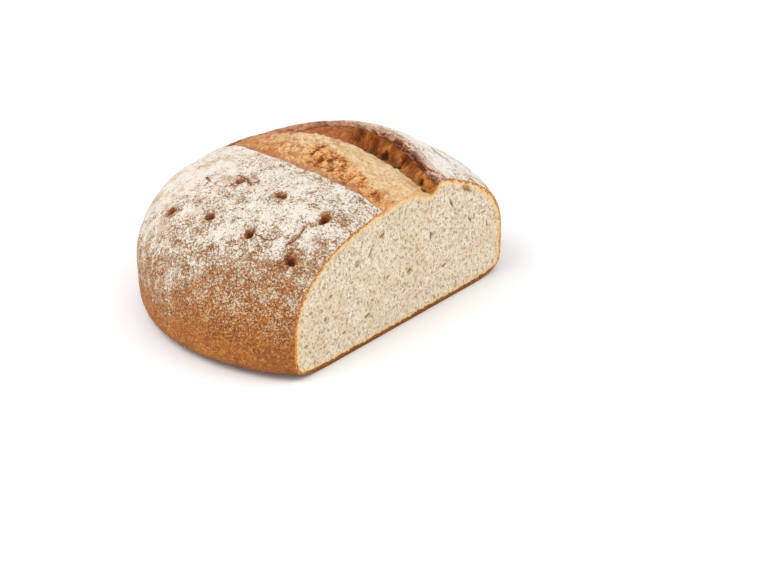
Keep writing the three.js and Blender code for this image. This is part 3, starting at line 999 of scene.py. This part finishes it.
        powdery = self.product(self.flour, self.maths("SUBTRACT", 1.0, torn_now))
        self.feed(self.shader.inputs["Roughness"], self.maths("MULTIPLY_ADD", powdery, 0.32, 0.6))
        self.shader.inputs["Specular IOR Level"].default_value = 0.16

        height = self.maths("MULTIPLY_ADD", powdery, 0.8, self.product(self.grain, 1.6))
        height = self.maths("MULTIPLY_ADD", self.pinch, 0.8, height)
        rough_bloom = self.maths("MULTIPLY_ADD", self.cells(2.2), -0.8, self.product(self.sugar, 4.0))
        height = self.total(height, self.product(torn_now, rough_bloom))
        height = self.total(height, self.product(lip_now, self.product(self.char, 3.0)))
        self.feed(self.shader.inputs["Normal"], self.bump(height, 0.7))
        return self.material


def crumb_material():
    """Webbed pale crumb, golden towards its ragged rim of crust, with its specks, pinholes and pores darkened as
    painted shade. Heights are in metres.
    """
    p = Paint("loaf_crumb")
    y, z = p.place.outputs["Y"], p.place.outputs["Z"]
    underside = p.between(z, 0.007, 0.001)
    from_rim = p.stir(p.mask("inside"), p.noise(4.0, 4, 0.7), 7.0)
    from_rim = p.maths("MULTIPLY_ADD", underside, -1.6, from_rim)
    fine = p.noise(1.3, 3, 0.65)
    bent = p.bent(1.3, 5.0)
    pinhole = p.cells(2.3, p.stretched(1.0, 1.15, 0.75, bent))
    speck = p.cells(1.35, bent)
    off_web = p.maths("ABSOLUTE", p.off_middle(p.noise(3.6, 3, 0.55, 0.5)))
    crumb = p.ramp(p.between(off_web, 0.10, 0.015), (0.0, CRUMB_GAP), (0.8, CRUMB_WEB))
    crumb = p.tint(crumb, CRUMB_SHADE, fine, 0.5, 0.62, 0.6)
    crumb = p.tint(crumb, CRUMB_CLOUD, p.noise(20, 3), 0.46, 0.62, 0.35)
    # painted shade: the specks, pinholes and pores are darkened as if in shadow
    crumb = p.tint(crumb, CRUMB_SPECK_SHADE, speck, 0.40, 0.22, 0.4)
    crumb = p.tint(crumb, CRUMB_PINHOLE_SHADE, pinhole, 0.37, 0.22, 0.75)
    crumb = p.tint(crumb, CRUMB_PORE_SHADE, p.mask("pore"), 0.25, 0.8, 0.9)
    crumb = p.tint(crumb, CRUMB_GOLD, from_rim, 6.0, 1.8, 0.75)
    rim = p.ramp(fine, (0.42, RIM_DARK), (0.58, RIM_PALE))
    at_bloom = p.product(  # where the slice crosses the bloom, whose skin is paler
        p.between(y, -0.026, -0.016),
        p.between(y, 0.042, 0.034),
        p.between(z, 0.05, 0.06, 0.0, 0.8),
    )
    rim = p.blend(at_bloom, rim, RIM_BLOOM)
    rim = p.blend(p.product(underside, 0.75), rim, RIM_UNDERSIDE)
    p.feed(p.shader.inputs["Base Color"], p.tint(crumb, rim, from_rim, 2.2, 1.3))
    p.shader.inputs["Roughness"].default_value = 0.9
    p.shader.inputs["Specular IOR Level"].default_value = 0.12
    p.shader.inputs["Subsurface Weight"].default_value = 0.15
    p.shader.inputs["Subsurface Radius"].default_value = (1.0, 0.7, 0.4)
    p.shader.inputs["Subsurface Scale"].default_value = 1.0 * MM
    height = p.maths("MULTIPLY_ADD", p.between(pinhole, 0.42, 0.2), -0.9, p.product(fine, -1.4))
    height = p.maths("MULTIPLY_ADD", p.between(speck, 0.42, 0.2), -0.4, height)
    p.feed(p.shader.inputs["Normal"], p.bump(height, 0.5))
    return p.material


loaf = build_loaf(Crust().finish(), crumb_material())
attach(loaf, "root")
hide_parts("loaf")

# ------------------------------------------------ floor, light and camera, in metres
FLOOR_SIZE = 8
FLOOR_DROP = 0.0002  # keeps the floor clear of the loaf's flat base
FLOOR_GREY = (0.93, 0.93, 0.93, 1)
FLOOR_ROUGHNESS = 0.8
WORLD_STRENGTH = 0.92
LAMP_SIZE = 0.9
LAMP_AIM = (0.0, 0.0, 0.05)
KEY_PLACE, KEY_WATTS = (-0.25, -0.85, 1.25), 9
SIDE_PLACE, SIDE_WATTS = (0.95, 0.55, 1.2), 4.5
CAMERA_PLACE = (0.77753, -0.80970, 0.58787)
CAMERA_AIM = (0.054773, 0.026981, 0.0)
CAMERA_LENS = 89.8  # this and the sensor in millimetres
CAMERA_SENSOR = 36


def facing(place, target):
    """The rotation that points a lamp or camera at PLACE towards TARGET."""
    return (Vector(target) - Vector(place)).to_track_quat("-Z", "Y").to_euler()


def soft_light(name, place, watts):
    data = bpy.data.lights.new(name, "AREA")
    data.shape = "DISK"
    data.size = LAMP_SIZE
    data.energy = watts
    lamp = bpy.data.objects.new(name, data)
    lamp.location = place
    lamp.rotation_euler = facing(place, LAMP_AIM)
    bpy.context.scene.collection.objects.link(lamp)


low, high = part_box("loaf")
bpy.ops.mesh.primitive_plane_add(
    size=FLOOR_SIZE, location=((low[0] + high[0]) / 2, (low[1] + high[1]) / 2, -FLOOR_DROP)
)
floor = bpy.context.object
floor.name = "floor"
floor_paint = bpy.data.materials.new("floor_pale")
floor_paint.use_nodes = True
floor_shader = floor_paint.node_tree.nodes["Principled BSDF"]
floor_shader.inputs["Base Color"].default_value = FLOOR_GREY
floor_shader.inputs["Roughness"].default_value = FLOOR_ROUGHNESS
floor.data.materials.append(floor_paint)

world = bpy.data.worlds.new("studio")
world.use_nodes = True
background = world.node_tree.nodes["Background"]
background.inputs["Color"].default_value = (1.0, 1.0, 1.0, 1)
background.inputs["Strength"].default_value = WORLD_STRENGTH
bpy.context.scene.world = world

soft_light("key", KEY_PLACE, KEY_WATTS)
soft_light("side", SIDE_PLACE, SIDE_WATTS)

camera_data = bpy.data.cameras.new("camera")
camera_data.sensor_width = CAMERA_SENSOR
camera_data.lens = CAMERA_LENS
camera = bpy.data.objects.new("camera", camera_data)
camera.location = CAMERA_PLACE
camera.rotation_euler = facing(CAMERA_PLACE, CAMERA_AIM)
bpy.context.scene.collection.objects.link(camera)
bpy.context.scene.camera = camera
bpy.context.scene.view_settings.view_transform = "Standard"
